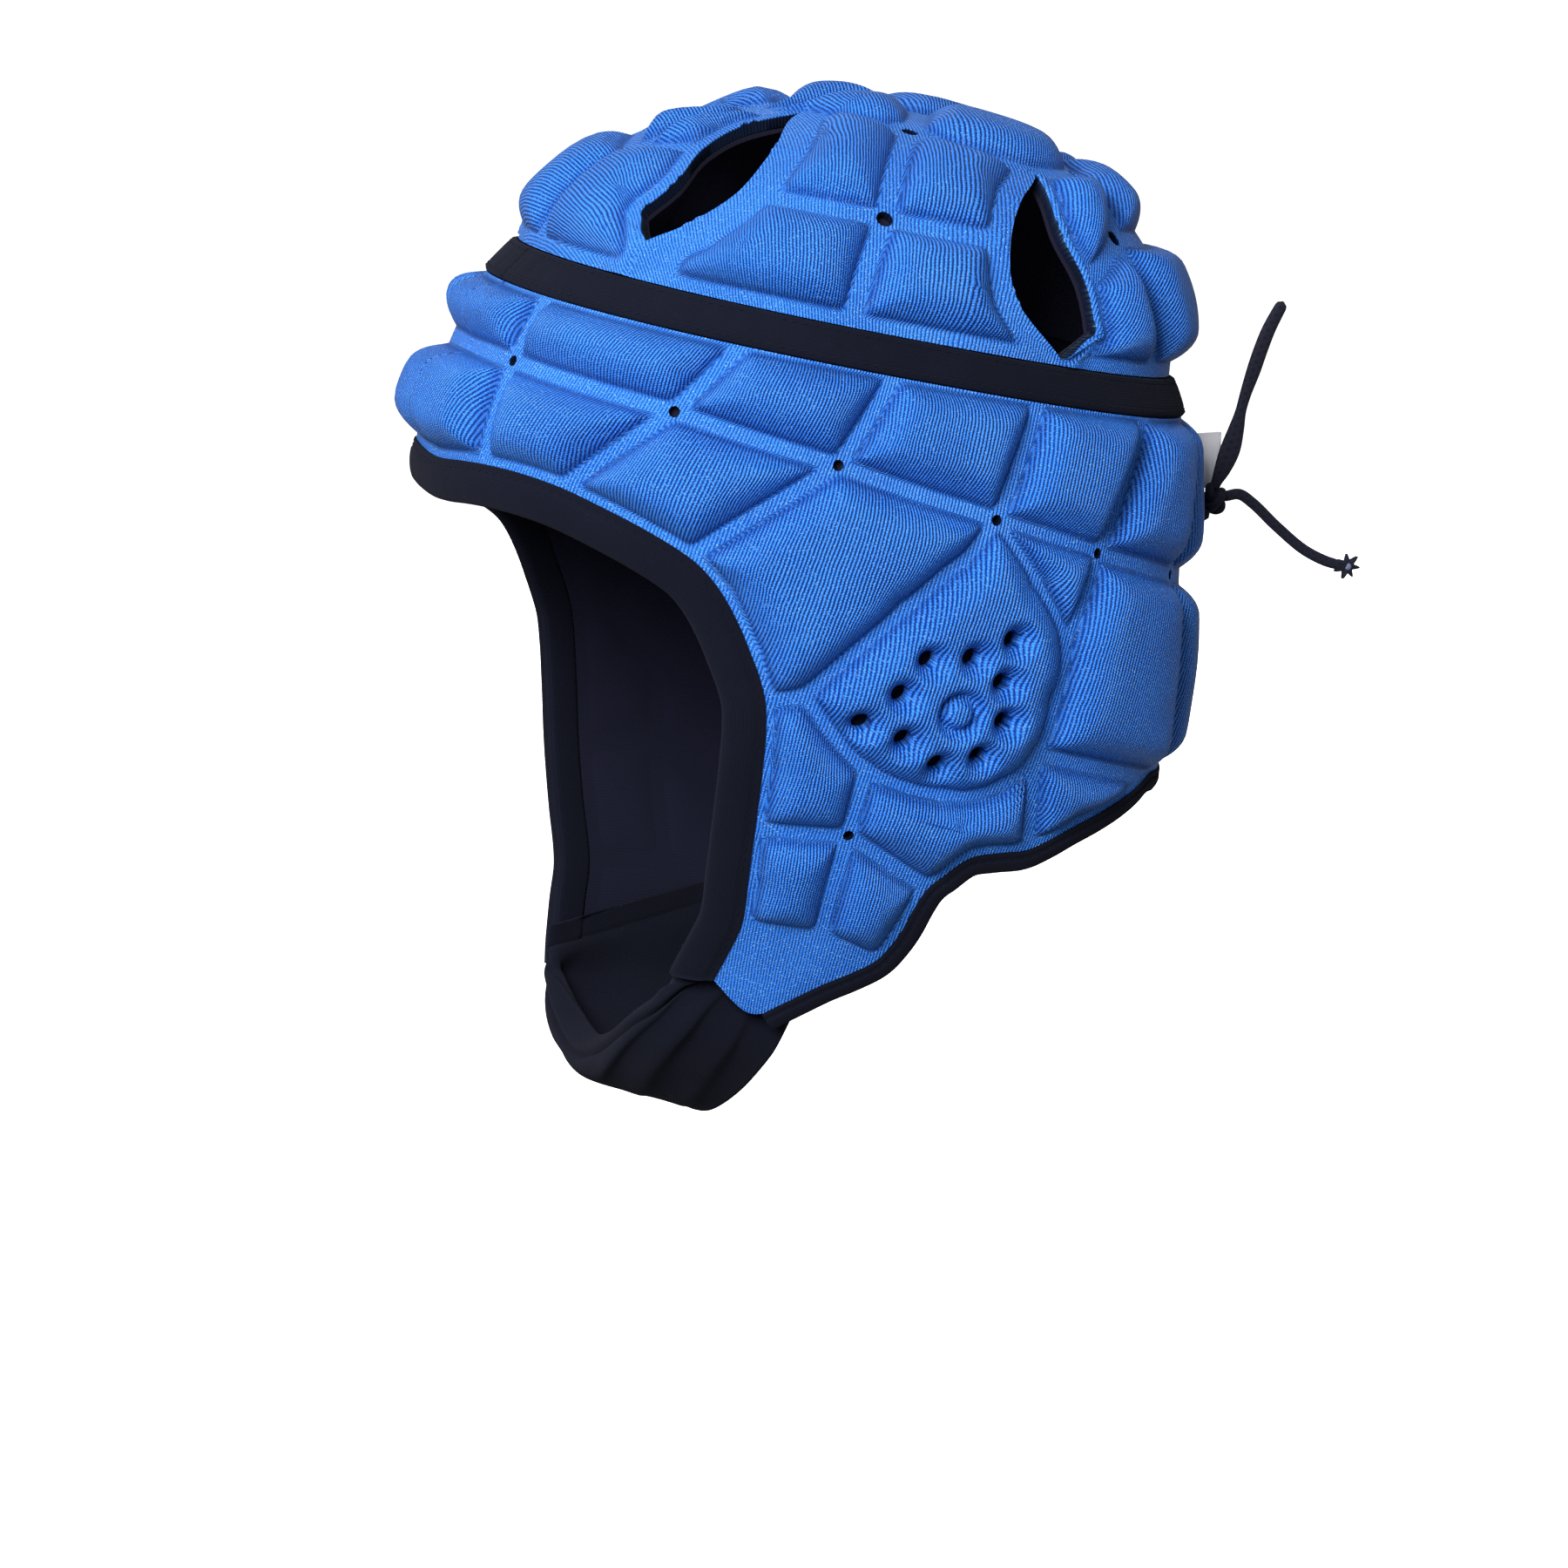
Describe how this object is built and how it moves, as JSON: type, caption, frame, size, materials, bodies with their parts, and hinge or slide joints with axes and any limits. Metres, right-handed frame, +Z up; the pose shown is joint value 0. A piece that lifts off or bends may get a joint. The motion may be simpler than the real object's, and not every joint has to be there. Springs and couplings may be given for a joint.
{
  "type": "soft shell scrum cap",
  "caption": "Soft padded sports head guard with raised foam cells, vented crown, elastic band, pierced ear panels, chin strap and a laced back.",
  "frame": {"origin": "point inside the crown, on the lining, where the top of the head rests", "axes": "+Z up as worn, the face looks toward -Y, +X toward the wearer's left"},
  "size_m": [0.19, 0.2799, 0.2933],
  "materials": {
    "blue_knit": "ribbed knit with a soft sheen over foam",
    "black_lining": "matt brushed knit",
    "black_elastic": "matt woven elastic",
    "black_binding": "matt stretch binding",
    "black_strap": "matt soft jersey",
    "black_lace": "round braided lace",
    "white_label": "smooth woven tape"
  },
  "bodies": {
    "root": {"crown_pad": "blue_knit", "crown_lining": "black_lining", "side_shell": "blue_knit", "side_lining": "black_lining", "band": "black_elastic", "face_binding": "black_binding", "neck_binding": "black_binding", "chin_strap": "black_strap", "rear_gusset": "black_elastic", "rear_lace": "black_lace", "lace_knot": "black_lace", "lace_end_up": "black_lace", "lace_end_down": "black_lace", "lace_end_knot": "black_lace", "label": "white_label"}
  },
  "joints": []
}
